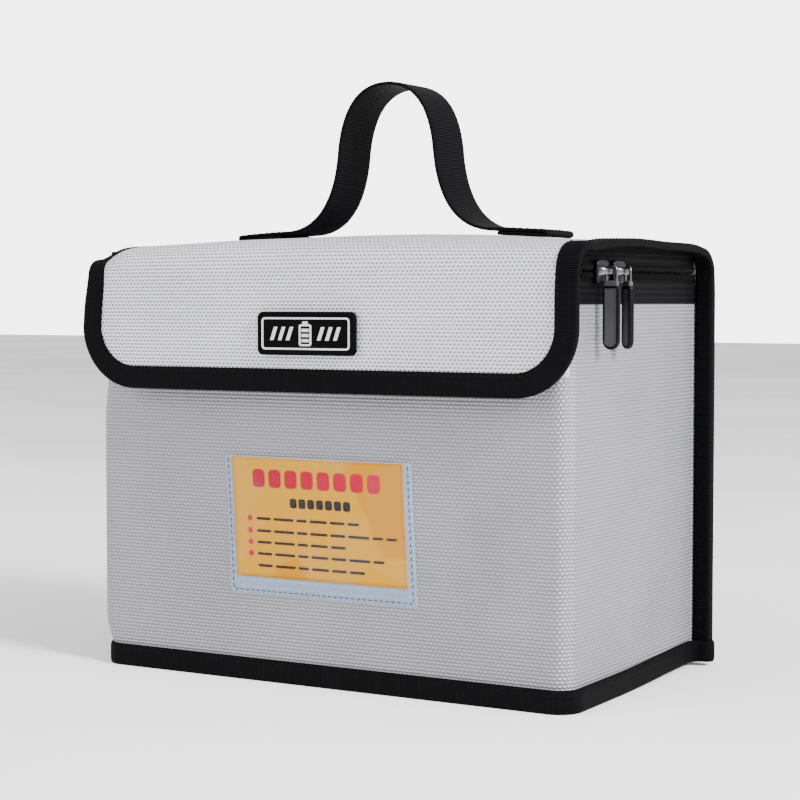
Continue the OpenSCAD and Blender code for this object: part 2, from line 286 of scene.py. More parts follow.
def cloth_finish(name, colour, pit_shade, raised=False, dots=0.8, lines=0.45, rough=0.42):
    """Coated glass cloth: rows of dots, each row set off by half a pitch, between plain lines, over
    broad soft changes of tone. Dots are pits painted dark as painted shade, and the lines between them are
    painted bright as painted highlights; where raised, the dots are the coating's crowns painted bright as
    painted glints, and the lines are painted dark as painted shade."""
    pitch, row = 0.00188, 0.00145
    f = Finish(name, {"Metallic": 0.2, "Specular IOR Level": 0.35})
    u, v = f.uv()
    grain, cloud = f.noise(700.0, 2.0), f.noise(24.0)
    sign = 0.5 if raised else -0.5
    weave = v.wave(row) * 0.45 + u.wave(pitch) * v.wave(2 * row) * sign + grain * 0.3 - 0.15
    spots = weave.step(0.30, 0.95) * dots
    ridges = (weave * -1).step(0.05, 0.55) * lines
    red, green, blue = colour
    warmer = (red * 1.04, green * 1.03, blue * 0.97)
    tint = f.mix(f.noise(9.0).step(0.35, 0.65), colour, warmer)
    ground = f.mix(cloud.step(0.3, 0.75), tint, scaled(colour, 0.86))
    # painted highlight: the coating's crowns painted 1.75 times as bright as the cloth, as glints
    crown = scaled(colour, 1.75)
    first, second = (crown, pit_shade) if raised else (pit_shade, crown)
    return f.dress({
        "Base Color": f.mix(ridges, f.mix(spots, ground, first), second),
        "Roughness": rough + (spots - ridges) * (-0.12 if raised else 0.12),
        "Normal": f.bump(weave * (1.0 if raised else -1.0), 0.00028),
    })


def tape_finish(name, colour, pitch, light=6.0, rough=0.62, specular=0.035):
    """Black woven tape: rounded ribs across it, each with its own small change of tone. The ribs' crests are
    painted lighter, a painted sheen, stronger in some patches than in others.
    """
    f = Finish(name, {"Specular IOR Level": specular})
    rib = 0.5 + 0.5 * f.uv()[0].wave(pitch)
    weave = f.noise(1500.0, 2.0)
    sheen_patches = f.noise(60.0)
    # painted sheen: the ribs' crests painted up to light times lighter than the tape, in patches
    tone = (rib * 0.6 + weave * 0.35).step(0.25, 1.05) * (0.45 + 0.8 * sheen_patches)
    return f.dress({
        "Base Color": f.mix(tone, colour, scaled(colour, light)),
        "Roughness": rough + 0.15 * weave,
        "Normal": f.bump(rib + 0.3 * weave, 0.00018),
    })


def zip_tape_finish(name, colour):
    """Zip tape: lengthways cords with a fine slanted weave between them, their crests painted lighter as a
    painted sheen.
    """
    f = Finish(name, {"Specular IOR Level": 0.035})
    u, v = f.uv()
    cord = 0.5 + 0.5 * v.wave(0.0024)
    twill = 0.5 + 0.5 * (u + v * 0.8).wave(0.0007)
    # painted sheen: the crests of the cords and twill painted lighter than the tape
    tone = (cord * 0.5 + twill * 0.5).step(0.4, 1.0)
    return f.dress({
        "Base Color": f.mix(tone, colour, scaled(colour, 3.2)),
        "Roughness": 0.55 + 0.15 * twill,
        "Normal": f.bump(cord * 0.6 + twill * 0.4, 0.00015),
    })


def moulded_finish(name, colour, rough=0.4, metallic=0.0, grain=0.08, scale=420.0, specular=0.5):
    """Moulded or cast stock: a fine grain and faint smears in its gloss."""
    f = Finish(name, {"Metallic": metallic, "Specular IOR Level": specular})
    fine, smear = f.noise(scale * 3, 2.0), f.noise(scale / 6)
    return f.dress({
        "Base Color": f.mix(smear.step(0.3, 0.75), scaled(colour, 0.9), scaled(colour, 1.1)),
        "Roughness": rough - 0.08 + 0.16 * smear + grain * fine,
        "Normal": f.bump(fine, 0.00003),
    })


def pile_finish(name, colour):
    """Hook or loop pad: a dense pile of small tufts."""
    f = Finish(name, {"Specular IOR Level": 0.3})
    tuft, clump = f.noise(1100.0, 4.0), f.noise(240.0)
    tone = tuft.step(0.35, 0.7)
    return f.dress({
        "Base Color": f.mix(tone, scaled(colour, 0.55), colour),
        "Roughness": 0.8 + 0.1 * clump,
        "Normal": f.bump(tuft + 0.6 * clump, 0.0006),
    })


def film_finish(name, card_low, card_high):
    """Clear vinyl: bluish where it lies on the cloth, clear over the card but for hard-edged smears
    where it clings, and glossy all over. Each edge of the card gives one soft step."""
    f = Finish(name, {"Base Color": (0.36, 0.47, 0.66), "Specular IOR Level": 0.3})
    u, v = f.uv()
    cling, cloud = f.noise(34.0, 1.0), f.noise(90.0)
    soft = 0.0005
    inside = 1.0
    for to_edge in (u - card_low[0], card_high[0] - u, v - card_low[1], card_high[1] - v):
        inside = inside * to_edge.step(-soft, soft)
    return f.dress({
        "Alpha": 0.28 - 0.276 * inside + 0.012 * cling.step(0.50, 0.53),
        "Roughness": 0.10 + 0.25 * cloud,
        "Normal": f.bump(cling + 0.3 * cloud, 0.0015),
    })


def card_finish(name, colour):
    """Printed card: a warm yellow, with paler tan patches painted on as the glare of the film over it."""
    f = Finish(name, {"Specular IOR Level": 0.05})
    u, v = f.uv()
    cloud = f.noise(26.0, 1.0)
    # painted reflection: patches of the film's glare painted onto the card as a paler tan
    glare_patches = (cloud + 0.06 * (u - v).wave(0.11)).step(0.41, 0.45)
    glare_colour = (0.45, 0.215, 0.010)
    return f.dress({
        "Base Color": f.mix(glare_patches, colour, glare_colour),
        "Roughness": 0.35 + 0.15 * cloud,
    })


FINISHES = {}


def make_finishes(colours):
    cloth, pit_shade, trim = (tuple(c) for c in (colours.cloth, colours.pit_shade, colours.trim))
    card_box = [(CARD_LOW.x, CARD_LOW.z), (high("info_card").x, high("info_card").z)]
    FINISHES.update({
        "cloth": cloth_finish("silver_cloth", scaled(cloth, 1.03), pit_shade, dots=0.95),
        # painted shade: the walls are the flap's silver cloth painted about half as bright, for the light
        # that falls less on them; their raised dots are painted bright as glints
        "walls": cloth_finish("silver_wall_cloth", scaled(cloth, 0.49), scaled(pit_shade, 1.2),
                              raised=True, dots=0.85, lines=0.5, rough=0.36),
        # painted light: the facing is the same silver cloth painted brighter, for the light that the proud
        # strip catches
        "facing": cloth_finish("facing_cloth", scaled(cloth, 1.35), scaled(pit_shade, 2.8), dots=0.6, lines=0.3),
        "lining": cloth_finish("silver_lining", scaled(cloth, 0.8), scaled(pit_shade, 2.2), dots=0.6, lines=0.2),
        # binding and webbing: their ribs carry a painted sheen, the crests painted lighter
        "edge": tape_finish("binding_tape", trim, 0.00078),
        "web": tape_finish("webbing", trim, 0.00115, light=7.0, rough=0.5, specular=0.03),
        "zip": zip_tape_finish("zip_tape", scaled(trim, 2.2)),
        "coil": moulded_finish("zip_coil", (0.0045, 0.0042, 0.0042), 0.4, scale=600.0, specular=0.03),
        "thread": moulded_finish("black_thread", scaled(trim, 2.5), 0.55, specular=0.06),
        "blue_thread": moulded_finish("pocket_thread", (0.022, 0.035, 0.065), 0.55, specular=0.2),
        "loop": pile_finish("loop_pile", (0.33, 0.33, 0.32)),
        "hook": pile_finish("hook_plastic", (0.05, 0.05, 0.055)),
        "film": film_finish("clear_film", *card_box),
        "card": card_finish("card_print", tuple(colours.card)),
        "red": moulded_finish("red_ink", tuple(colours.red_ink), 0.45, specular=0.1),
        "dark": moulded_finish("dark_ink", (0.012, 0.006, 0.005), 0.5, specular=0.2),
        "badge": moulded_finish("badge_rubber", trim, 0.5, grain=0.2, specular=0.03),
        "print": moulded_finish("badge_print", (0.50, 0.50, 0.50), 0.5),
        "metal": moulded_finish("slider_metal", (0.14, 0.14, 0.145), 0.24, metallic=1.0, grain=0.05),
        # painted shade: the slider's body and rails are a darker copy of the slider metal
        "dark_metal": moulded_finish("slider_metal_shaded", (0.018, 0.018, 0.020), 0.35, metallic=0.9,
                                     grain=0.05, specular=0.1),
        "tab": moulded_finish("pull_rubber", scaled(trim, 1.2), 0.32, specular=0.10),
        # partly a satin face and partly painted reflection: the tab's face and head are the black rubber
        # painted grey for the white surroundings they reflect
        "tab_face": moulded_finish("pull_face", (0.050, 0.050, 0.054), 0.42, specular=0.2),
        "floor": moulded_finish("pale_floor", (0.93, 0.93, 0.93), 0.8, scale=8.0, specular=0.1),
    })


# ---- shared shapes ----

BAG_MIDDLE = Vector((0.0, 0.0, 0.09))


def surface(name, points, finishes, uv=None, closed=(False, False), caps=False, second_from=None):
    """Mesh over a grid of points, or over many grids stacked in a fourth axis. closed joins the
    last row or column to the first, caps closes the two end rows, and faces from ring second_from
    on take the second finish."""
    stack = points if points.ndim == 4 else points[None]
    copies, rows, cols = stack.shape[:3]
    i = np.arange(rows - (not closed[0]))[:, None]
    j = np.arange(cols - (not closed[1]))[None, :]
    ring = [(i, j), (i, j + 1), (i + 1, j + 1), (i + 1, j)]
    quads = np.stack([(r % rows) * cols + c % cols for r, c in ring], -1).reshape(-1, 4)
    shift = (np.arange(copies) * rows * cols)[:, None, None]
    faces = (quads[None] + shift).reshape(-1, 4).tolist()
    if caps:
        ends = np.stack([np.arange(cols)[::-1], (rows - 1) * cols + np.arange(cols)])
        faces += (ends[None] + shift).reshape(-1, cols).tolist()
    mesh = bpy.data.meshes.new(name)
    mesh.from_pydata(stack.reshape(-1, 3).tolist(), [], faces)
    if uv is not None:
        corners = np.stack([uv[r + 0 * c, c + 0 * r] for r, c in ring], -2).reshape(-1, 2)
        parts = [np.tile(corners, (copies, 1))]
        if caps:
            parts.append(np.tile(np.concatenate([uv[0, :cols][::-1], uv[-1, :cols]]), (copies, 1)))
        mesh.uv_layers.new(name="length").data.foreach_set("uv", np.concatenate(parts).ravel())
    for finish in finishes if isinstance(finishes, tuple) else (finishes,):
        mesh.materials.append(FINISHES[finish])
    if second_from is not None:
        order = np.zeros(len(mesh.polygons), np.int32)
        order[second_from * cols:len(quads)] = 1
        order[-1] = 1
        mesh.polygons.foreach_set("material_index", order)
    mesh.polygons.foreach_set("use_smooth", np.ones(len(mesh.polygons), bool))
    outward = sum((p.center - BAG_MIDDLE).dot(p.normal) * p.area for p in mesh.polygons)
    if outward < 0:
        mesh.flip_normals()
    mesh.update()
    piece = bpy.data.objects.new(name, mesh)
    bpy.context.scene.collection.objects.link(piece)
    return piece


def form(name, rings, finish, uv=None, second_from=None):
    """A closed piece from a stack of rings."""
    return surface(name, rings, finish, uv, closed=(False, True), caps=True, second_from=second_from)


def thicken(piece, thickness):
    """Gives a sheet its thickness, inwards from its outer face."""
    solid = piece.modifiers.new("thickness", "SOLIDIFY")
    solid.thickness, solid.offset, solid.use_even_offset = thickness, -1.0, True


def crease(piece, degrees=35.0):
    """Keeps edges sharper than an angle sharp in a smooth piece."""
    piece.data.set_sharp_from_angle(angle=math.radians(degrees))
    return piece


def unit(vectors):
    return vectors / np.linalg.norm(vectors, axis=-1, keepdims=True)


def same(vector, route):
    """One direction, once for each point of a route."""
    return np.tile(np.array(vector, float), (len(route), 1))


def joined(*spans):
    """One run of numbers over several even spans, each with its start, end and count."""
    return np.concatenate([*(np.linspace(*span)[:-1] for span in spans[:-1]), np.linspace(*spans[-1])])


def wall_stops(start, side, corner, front):
    """Distances along the wall from start to the same place on its left: evenly spaced on each
    side, corner and the front, by their counts."""
    bend_end, side_start, end = (WALL_LENGTH - d for d in (FRONT_START, WALL_RUN, start))
    return joined((start, WALL_RUN, side), (WALL_RUN, FRONT_START, corner),
                  (FRONT_START, bend_end, front), (bend_end, side_start, corner), (side_start, end, side))


def run_length(route):
    """Distance along a route at each of its points."""
    steps = np.linalg.norm(np.diff(route, axis=0), axis=1)
    return np.concatenate([[0.0], np.cumsum(steps)])


def power_ring(half_w, half_t, power, n=24):
    """Superellipse: the cosine and sine of an even turn, each raised to 2 / power with its sign kept."""
    turn = np.linspace(0, 2 * math.pi, n, endpoint=False)
    c, s = np.cos(turn), np.sin(turn)
    return (half_w * np.sign(c) * np.abs(c) ** (2 / power),
            half_t * np.sign(s) * np.abs(s) ** (2 / power))


def carried(route, side, out, half_w, half_t, power=4.0, n=24):
    """A superellipse ring carried along a route. side and out are its two axes at each point."""
    w, t = power_ring(1.0, 1.0, power, n)
    half_w = np.broadcast_to(np.asarray(half_w, float), len(route))[:, None, None]
    half_t = np.broadcast_to(np.asarray(half_t, float), len(route))[:, None, None]
    return (route[:, None] + side[:, None] * w[None, :, None] * half_w
            + out[:, None] * t[None, :, None] * half_t)


def carried_uv(route, half_w, half_t, power=4.0, n=24, closed=False):
    """Lengths along the route and round its ring, for carried()."""
    w, t = power_ring(half_w, half_t, power, n)
    ring = np.stack([w, t], -1)
    round_it = run_length(np.concatenate([ring, ring[:1]]))
    along = run_length(np.concatenate([route, route[:1]]) if closed else route)
    return np.stack(np.meshgrid(along, round_it, indexing="ij"), -1)


def tube(name, route, side, out, half_w, half_t, finish, power=4.0, n=24, closed=False):
    """A closed piece with a superellipse section along a route."""
    return surface(
        name, carried(route, side, out, half_w, half_t, power, n), finish,
        carried_uv(route, np.max(half_w), np.max(half_t), power, n, closed),
        closed=(closed, True), caps=not closed)


def outline(width, height, radii, inset, n=8):
    """Rectangle with four rounded corners, drawn in by an inset: quarter circles joined by straight
    sides. radii start at the upper right and go round to the left."""
    turn = np.linspace(0, QUARTER, n)
    signs = np.array([(1, 1), (-1, 1), (-1, -1), (1, -1)])
    least = 1e-5
    parts = []
    for k, (sign, r) in enumerate(zip(signs, radii)):
        centre = sign * (np.array([width, height]) / 2 - max(r, inset + least))
        angle = turn + k * QUARTER
        parts.append(centre + max(r - inset, least) * np.stack([np.cos(angle), np.sin(angle)], -1))
    return np.concatenate(parts)


def plate(width, height, radii, profile, origin, across, up, out, n=8):
    """Rings of one outline at each (inset, height) pair of a profile, set in place by three axes."""
    rings = np.stack([outline(width, height, radii, inset, n) for inset, _ in profile])
    rise = np.array([h for _, h in profile])[:, None, None]
    return (np.asarray(origin) + rings[..., :1] * np.asarray(across)
            + rings[..., 1:] * np.asarray(up) + rise * np.asarray(out))


def domed(half_t, inset, face, rim=0.0):
    """Profile of a plate from its back, round its edge, over a rim and in to a flat face."""
    turn = np.linspace(-QUARTER, QUARTER, 9)
    edge = [(inset * (1 - math.cos(a)), half_t * math.sin(a)) for a in turn]
    return edge + [(inset + rim, half_t), (inset + rim + 0.0003, face), (inset + rim + 0.0008, face)]


def stitches(name, route, out, finish="thread", pitch=0.0031, radius=0.00022):
    """A row of thread stitches on a route: each is a small bow, a ring that follows half a sine
    and narrows to its two ends."""
    share = 0.72
    along = run_length(route)
    count = max(int(along[-1] / pitch), 1)
    middle = (np.arange(count) + 0.5) * along[-1] / count
    half = pitch * share / 2

    def at(values, d):
        return np.stack([np.interp(d, along, values[:, k]) for k in range(3)], -1)

    ahead = unit(at(route, middle + half) - at(route, middle - half))
    rise = unit(at(out, middle))
    side = np.cross(ahead, rise)
    t = np.linspace(-1, 1, 5)
    ring = np.linspace(0, 2 * math.pi, 6, endpoint=False)
    swell = radius * np.sqrt(1 - (0.9 * t) ** 2)
    bow = radius * 0.7 * np.cos(t * QUARTER) - radius * 0.3
    points = (at(route, middle)[:, None, None]
              + ahead[:, None, None] * (half * t)[None, :, None, None]
              + side[:, None, None] * (swell[:, None] * np.cos(ring))[None, ..., None]
              + rise[:, None, None] * (bow[:, None] + swell[:, None] * np.sin(ring))[None, ..., None])
    return form(name, points, finish)


def bent(s, first, radius, second):
    """A line that runs ahead, turns a quarter circle, runs across, turns again and comes back:
    how far ahead and across it is at the distance s along it, and how far it has turned."""
    quarter = radius * QUARTER
    a = np.clip((s - first) / radius, 0, QUARTER)
    b = np.clip((s - first - quarter - second) / radius, 0, QUARTER)
    back = np.maximum(s - first - 2 * quarter - second, 0)
    ahead = np.minimum(s, first) + radius * np.sin(a) - radius * (1 - np.cos(b)) - back
    across = (radius * (1 - np.cos(a)) + np.clip(s - first - quarter, 0, second)
              + radius * np.sin(b))
    return ahead, across, a + b


def ease(t):
    """Smooth step: 3 t squared less 2 t cubed, between 0 and 1."""
    t = np.clip(t, 0, 1)
    return t * t * (3 - 2 * t)


def bell(t):
    """1 at 0, falling away on both sides: e to the power of minus t squared."""
    return np.exp(-t ** 2)


def ripples(p, q, height):
    """Soft waves: three crossed sines with pitches that don't repeat together."""
    return height * (np.sin(p * 61 + q * 23) + 0.7 * np.sin(q * 83 - p * 31 + 1.3)
                     + 0.5 * np.sin((p + q) * 127 + 0.6)) / 2.2


def lid_swell(x, s, sizes):
    """Height of the lid's cloth over its straight side profile: a parabola across by a bell along,
    less a bell of droop at each bend's ends, plus a dip and a low rise along the bound edges."""
    half = LID_RUN / 2 + BEND_R * QUARTER + 0.015
    t = np.clip((s - LID_MIDDLE) / half, -1, 1)
    across = np.clip(1 - (x / HALF_W) ** 2, 0, 1)
    crown = sizes.lid_crown * across * (1 - t * t) ** 1.5
    corner = np.clip((np.abs(x) - 0.088) / 0.020, 0, 1) ** 3
    front_sag = bell((s - LID_FRONT - 0.003) / 0.0155) * np.where(x < 0, 1.0, 0.12)
    rear_sag = 0.37 * bell((s - BEND_Z - 0.011) / 0.011)
    crown = crown - sizes.droop * corner * (front_sag + rear_sag)
    y = s - LID_MIDDLE
    edge = 0.0006 * bell((y - 0.010) / 0.018) - 0.0011 * bell((y - 0.050) / 0.010)
    rest = np.clip(1 - np.abs(s - LID_MIDDLE) / half, 0, 1)
    return crown + edge * (1 - across) + ripples(x, s, sizes.ripple) * across * (0.35 + rest)


def spine(x, s, lift, sizes):
    """Point and outward direction on the long cloth: x across the bag, s up the back, over the lid
    and down the flap, lifted off its outer face."""
    ahead, across, turn = bent(s, BEND_Z, BEND_R, LID_RUN)
    out = np.stack(np.broadcast_arrays(0 * x, np.cos(turn), np.sin(turn)), -1)
    nip = sizes.nip * ease((-x - 0.050) / 0.060) * bell((s - LID_FRONT - 0.006) / 0.020)
    shift = FLAP_SHIFT * ease((s - LID_FRONT) / FLAP_EASE)
    flat = np.stack(np.broadcast_arrays(x + nip + shift, BACK_Y - across, ahead), -1)
    rise = np.broadcast_to(lift + lid_swell(x, s, sizes), flat.shape[:-1])
    return flat + out * rise[..., None], out


def wall_swell(s, z, sizes):
    """Swell of the walls: a parabola along each wall by a sine up it, with soft waves."""
    front = np.clip(1 - ((s - WALL_LENGTH / 2) / (FRONT_RUN / 2)) ** 2, 0, 1)
    side_at = np.minimum(s, WALL_LENGTH - s)
    side = np.clip(1 - ((side_at - WALL_RUN / 2) / (WALL_RUN / 2)) ** 2, 0, 1)
    up = np.sin(np.clip(z / WALL_TOP, 0, 1) * math.pi) ** 0.8
    return up * (sizes.wall_swell * (front + 0.8 * side) + ripples(s, z, sizes.ripple) * (front + side))


def wall_share(s, z):
    """Share of the puff and lean at a place on the wall: none at the base, the zip and the back seams."""
    side_at = np.minimum(s, WALL_LENGTH - s)
    return ease((z - 0.003) / 0.017) * (1 - ease((z - 0.100) / 0.048)) * ease(side_at / 0.035)


def wall(s, z, lift, sizes=None):
    """Point and outward direction on the wall: s along the right side, the front and the left
    side, at the height z, lifted off its outer face."""
    ahead, across, turn = bent(s, WALL_RUN, CORNER_R, FRONT_RUN)
    out = np.stack(np.broadcast_arrays(np.cos(turn), -np.sin(turn), 0 * z), -1)
    x = HALF_W - across
    swell = 0.0
    if sizes:
        swell = wall_swell(s, z, sizes)
        share = wall_share(s, z)
        x = x * (1 + sizes.puff / HALF_W * share) - sizes.lean * share
    flat = np.stack(np.broadcast_arrays(x, FLANGE_Y - ahead, z + 0 * s), -1)
    rise = np.broadcast_to(lift + swell, flat.shape[:-1])
    return flat + out * rise[..., None], out


def front_face(x, z, lift, sizes):
    """Point on the front wall at x, lifted off the cloth. The wall's own lean is taken off first."""
    share = wall_share(WALL_LENGTH / 2 + 0 * z, z)
    at = (x + sizes.lean * share) / (1 + sizes.puff / HALF_W * share)
    return wall(WALL_LENGTH / 2 - at, z, lift, sizes)[0]


def flap_half_width(s, inset):
    """Half the width of the lid and flap at s, drawn in by an inset: straight, a little narrower
    past the bend, and then a quarter circle down to the flap's lower edge."""
    side = SEAM_X - FLAP_DRAW_IN * ease((s - LID_FRONT) / FLAP_EASE) - FLAP_CORNER_R
    below = np.maximum(s - (FLAP_END - FLAP_CORNER_R), 0)
    return side + np.sqrt(np.maximum((FLAP_CORNER_R - inset) ** 2 - below ** 2, 0))


def grid(first, second):
    return np.meshgrid(first, second, indexing="ij")


def settle(piece, place, slot, *nodes):
    """Puts a piece on its body, or, over one of the bends, bakes its place into its mesh and leaves it on no
    body, and hides the nodes it replaces. Its slot is not used.
    """
    if place in BENDS:
        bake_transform(piece)
    else:
        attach(piece, place)
    if nodes:
        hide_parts(*nodes)
    return piece


# ---- operators: cloth ----

class BAG_OT_walls(Operator):
    """The wall cloth (front and both sides in one), the base cloth and the inner lining"""
    bl_idname = "bag.walls"
    bl_label = "Walls and lining"

    def execute(self, context):
        sizes = context.scene.bag_sizes
        margin = CLOTH_X - HALF_W
        s = np.concatenate([[-margin], wall_stops(0, 34, 9, 70), [WALL_LENGTH + margin]])
        z = np.linspace(CLOTH_T, WALL_TOP, 50)
        along, height = grid(s, z)
        points, _ = wall(np.clip(along, 0, WALL_LENGTH), height, 0.0, sizes)
        points[0, :, 0], points[-1, :, 0] = CLOTH_X, -CLOTH_X
        points[[0, -1], :, 2] += FOOT_LIFT * np.clip(1 - height[0] / FOOT_H, 0, 1)
        piece = surface("wall_cloth", points, "walls", np.stack([along, height], -1))
        thicken(piece, CLOTH_T)
        settle(piece, "body", "silver_cloth", "front_side_wrap")
        WALL_LENGTH + 2 * margin

        depth = FLANGE_Y - FRONT_Y + CLOTH_T
        middle = (0.0, (FLANGE_Y + CLOTH_T + FRONT_Y) / 2, 0.0)
        insets = np.linspace(depth / 2 - 0.001, 0.0012, 20)
        base = plate(2 * HALF_W, depth, (0.0005, 0.0005, CORNER_R, CORNER_R),
                     [(d, CLOTH_T) for d in insets], middle, *FLOOR_AXES)
        piece = form("base_cloth", base, "walls", closed_uv(base))
        open_ring(piece, base)
        thicken(piece, CLOTH_T)
        settle(piece, "body", "silver_cloth", "bottom_panel")

        skin = CLOTH_T + 0.0002
        inner_w, inner_d = 2 * (HALF_W - skin), BACK_Y - FRONT_Y - 2 * skin
        floor = [(d, CLOTH_T + 0.001) for d in np.linspace(inner_d / 2 - 0.001, 0.002, 8)]
        turn = [(0.002 * (1 - math.sin(a)), CLOTH_T + 0.003 - 0.002 * math.cos(a))
                for a in np.linspace(0, QUARTER, 5)]
        sides = [(0.0, h) for h in np.linspace(0.008, WALL_TOP, 24)]
        lining = plate(inner_w, inner_d, (0.002, 0.002, CORNER_R - skin, CORNER_R - skin),
                       floor + turn + sides, (0, (BACK_Y + FRONT_Y) / 2, 0), *FLOOR_AXES)
        piece = form("body_liner", lining, "lining", closed_uv(lining))
        open_ring(piece, lining)
        thicken(piece, 0.0008)
        settle(piece, "body", "silver_lining", "body_lining")
        return {"FINISHED"}


def closed_uv(rings):
    """Lengths round and along a stack of rings."""
    cols = rings.shape[1]
    round_it = run_length(np.concatenate([rings[-1], rings[-1][:1]]))
    up = run_length(rings[:, cols // 8])
    return np.stack([np.broadcast_to(round_it[None], (len(up), cols + 1)),
                     np.broadcast_to(up[:, None], (len(up), cols + 1))], -1)


def open_ring(piece, rings):
    """Takes the cap off the last ring, so that the piece stays open there and closed at the first."""
    mesh = piece.data
    last = {(len(rings) - 1) * rings.shape[1] + k for k in range(rings.shape[1])}
    made = bmesh.new()
    made.from_mesh(mesh)
    cap = [f for f in made.faces if {v.index for v in f.verts} == last]
    bmesh.ops.delete(made, geom=cap, context="FACES_ONLY")
    made.to_mesh(mesh)
    made.free()


class BAG_OT_spine(Operator):
    """The long cloth in two halves that meet across the lid (the back with the lid's rear, and the
    lid's front with the flap) and the lining under the lid and flap"""
    bl_idname = "bag.spine"
    bl_label = "Back, lid and flap"

    def execute(self, context):
        sizes = context.scene.bag_sizes
        u = np.linspace(-1, 1, 91)
        rise = joined((0, BEND_Z, 40), (BEND_Z, LID_BACK, 17), (LID_BACK, LID_MIDDLE, 22))
        s, x = grid(rise, u * CLOTH_X)
        s = s + FOOT_LIFT * ease((np.abs(x) - 0.100) / 0.012) * np.clip(1 - s / FOOT_H, 0, 1)
        rear = surface("rear_cloth", spine(x, s, 0.0, sizes)[0], "cloth", np.stack([x, s], -1))
        thicken(rear, CLOTH_T)
        settle(rear, "rear bend", "silver_cloth", "back_panel", "lid_panel")

        inset = 0.004
        r = FLAP_CORNER_R - inset
        angle = np.linspace(0, QUARTER, 24)
        corner = FLAP_END - FLAP_CORNER_R
        drop = np.concatenate([
            joined((LID_MIDDLE, LID_FRONT, 22), (LID_FRONT, FLAP_TOP, 17), (FLAP_TOP, corner, 12))[:-1],
            corner + r * np.sin(angle)])
        wide = np.minimum(flap_half_width(drop, inset), CLOTH_X)
        s = np.broadcast_to(drop[:, None], (len(drop), len(u)))
        x = wide[:, None] * u[None]
        front = surface("front_cloth", spine(x, s, 0.0, sizes)[0], "cloth", np.stack([x, s], -1))
        thicken(front, CLOTH_T)
        settle(front, "front bend", "silver_cloth", "lid_panel", "flap_panel")
        FLAP_END - LID_MIDDLE

        under = -CLOTH_T - 0.0002
        from_rear, inner_w, rear_rows = LID_BACK + 0.003, HALF_W - 0.003, 14
        keep = drop > LID_MIDDLE
        rows = np.concatenate([np.linspace(from_rear, LID_MIDDLE, rear_rows), drop[keep]])
        wide = np.concatenate([np.full(rear_rows, inner_w), np.minimum(wide[keep], inner_w)])
        s = np.broadcast_to(rows[:, None], (len(rows), len(u)))
        x = wide[:, None] * u[None]
        liner = surface("lid_liner", spine(x, s, under, sizes)[0], "lining", np.stack([x, s], -1))
        thicken(liner, 0.0007)
        settle(liner, "front bend", "silver_lining", "lid_lining", "flap_lining")
        FLAP_END - from_rear
        return {"FINISHED"}


def flap_edge_half(sizes, way, inward):
    """One half of the flap's bound edge, drawn in by a distance: along the lid's edge, down the flap,
    round its corner and along its foot. Gives points, directions to the outside, outward faces."""
    straight = joined((LID_MIDDLE, LID_FRONT, 30), (LID_FRONT, FLAP_TOP, 18),
                      (FLAP_TOP, FLAP_END - FLAP_CORNER_R, 12))
    edge, out = spine(way * (flap_half_width(straight, 0.0) - inward), straight, -EDGE_SINK, sizes)
    angle = np.linspace(0, QUARTER, 26)[1:]
    ray = np.stack([way * np.cos(angle), 0 * angle, -np.sin(angle)], -1)
    hub = np.array([way * (SEAM_X - FLAP_DRAW_IN - FLAP_CORNER_R) + FLAP_SHIFT, FLAP_Y + EDGE_SINK,
                    FLAP_LOW + FLAP_CORNER_R])
    corner = hub + ray * (FLAP_CORNER_R - inward)
    x = np.linspace(hub[0], FLAP_SHIFT, 50)[1:]
    bottom = np.stack([x, np.full(len(x), hub[1]), np.full(len(x), FLAP_LOW + inward)], -1)
    side = np.concatenate([same((way, 0, 0), edge), ray, same(-UP, bottom)])
    outs = np.concatenate([out, same(FORWARD, corner), same(FORWARD, bottom)])
    return np.concatenate([edge, corner, bottom]), side, outs


def flap_edge_route(sizes, inward):
    """Route of the whole bound edge of the lid's front half and the flap, from right to left."""
    right, left = (flap_edge_half(sizes, way, inward) for way in (1, -1))
    return tuple(np.concatenate([a, b[-2::-1]]) for a, b in zip(right, left))


def rear_edge_route(sizes, way, inward):
    """Route of one bound edge of the back and of the lid's rear half."""
    s = joined((high("base_binding").z - 0.001, BEND_Z, 40), (BEND_Z, LID_BACK, 20),
               (LID_BACK, LID_MIDDLE, 26))
    points, out = spine(np.full(len(s), way * (SEAM_X - inward)), s, -EDGE_SINK, sizes)
    return points, same((way, 0, 0), s), out


